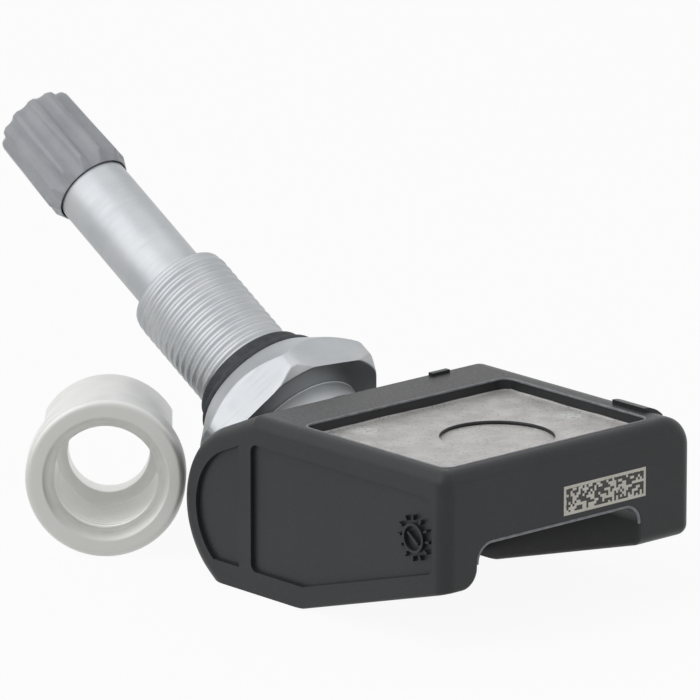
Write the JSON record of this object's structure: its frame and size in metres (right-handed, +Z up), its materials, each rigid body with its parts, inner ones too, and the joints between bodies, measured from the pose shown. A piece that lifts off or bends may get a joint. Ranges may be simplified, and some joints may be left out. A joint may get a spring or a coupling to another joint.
{
  "type": "tyre pressure sensor",
  "caption": "Clamp-in tyre pressure sensor: potted plastic wedge housing on an inclined aluminium valve with hexagon, seal and screw cap; its flanged collar nut lies beside it.",
  "frame": {"origin": "middle of the flat sole that the sensor stands on, in the plane of the valve's axis", "axes": "+Y towards the valve, +Z up, +X along the front wall to the right"},
  "size_m": [0.0421, 0.0839, 0.0398],
  "materials": {
    "housing_plastic": "fine moulded texture",
    "potting_resin": "satin, speckled",
    "board_laminate": "satin",
    "chip_plastic": "matte",
    "seal_rubber": "satin",
    "filter_fabric": "matte",
    "cell_steel": "brushed",
    "coil_copper": "lacquered",
    "capacitor_ceramic": "matte",
    "stem_aluminium": "turned, satin",
    "core_brass": "turned",
    "cap_plastic": "satin",
    "nut_aluminium": "turned, satin"
  },
  "bodies": {
    "root": {"housing": "housing_plastic", "resin_fill": "potting_resin", "circuit_board": "board_laminate", "sensor_chip": "chip_plastic", "port_gasket": "seal_rubber", "port_filter": "filter_fabric", "battery_cell": "cell_steel", "battery_tab_minus": "cell_steel", "battery_tab_plus": "cell_steel", "wake_coil": "coil_copper", "crystal": "cell_steel", "capacitors": "capacitor_ceramic", "antenna": "coil_copper", "valve_stem": "stem_aluminium", "stem_seal": "seal_rubber", "fixing_screw": "cell_steel", "screw_washer": "cell_steel", "core_body": "core_brass", "core_ring": "seal_rubber", "core_spring": "cell_steel", "collar_nut": "nut_aluminium"},
    "cap_carrier": {"cap_seal": "seal_rubber"},
    "valve_cap": {"valve_cap": "cap_plastic"},
    "core_pin": {"core_pin": "core_brass", "core_cup_seal": "seal_rubber"}
  },
  "joints": [
    {"name": "cap_lift", "type": "slide", "parent": "root", "child": "cap_carrier", "axis": [0, 0.8554, 0.518], "range_m": [0, 0.00476]},
    {"name": "cap_turn", "type": "hinge", "parent": "cap_carrier", "child": "valve_cap", "pos_m": [0, 0.05223, 0.03539], "axis": [0, 0.8554, 0.518], "range_deg": [0, 2161]},
    {"name": "core_pin_press", "type": "slide", "parent": "root", "child": "core_pin", "axis": [0, -0.8554, -0.518], "range_m": [0, 0.0015], "stiffness_N_per_m": 400, "springref_m": -0.001, "deforming": ["core_spring"]}
  ],
  "couplings": [
    {"joint": "cap_turn", "follows": "cap_lift", "rad_per_m": 7913.3}
  ]
}
